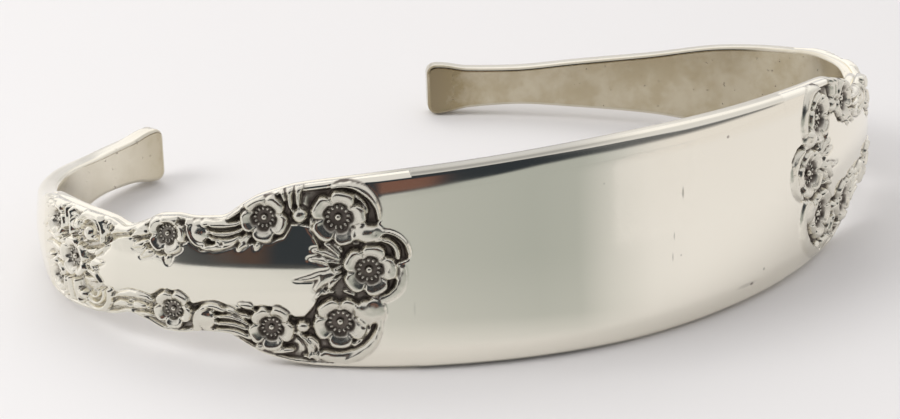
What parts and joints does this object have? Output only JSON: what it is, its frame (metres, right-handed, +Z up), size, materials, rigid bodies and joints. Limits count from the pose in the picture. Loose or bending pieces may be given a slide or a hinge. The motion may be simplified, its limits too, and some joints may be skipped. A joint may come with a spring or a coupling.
{
  "type": "spoon handle cuff bracelet",
  "caption": "Open silver cuff bracelet bent from a spoon handle, with a plain broad front, cast blossom and scroll borders on both sides and narrow plain tails.",
  "frame": {"origin": "centre of the footprint, on the surface that the cuff lies on", "axes": "+X from the left bend to the right bend, -Y out of the plain front, +Y out of the gap between the tips, +Z up through the hollow"},
  "size_m": [0.0672, 0.0434, 0.015],
  "materials": {
    "silver": "polished worn silver, blackened in the recesses of the relief"
  },
  "bodies": {
    "root": {"cuff": "silver"}
  },
  "joints": []
}
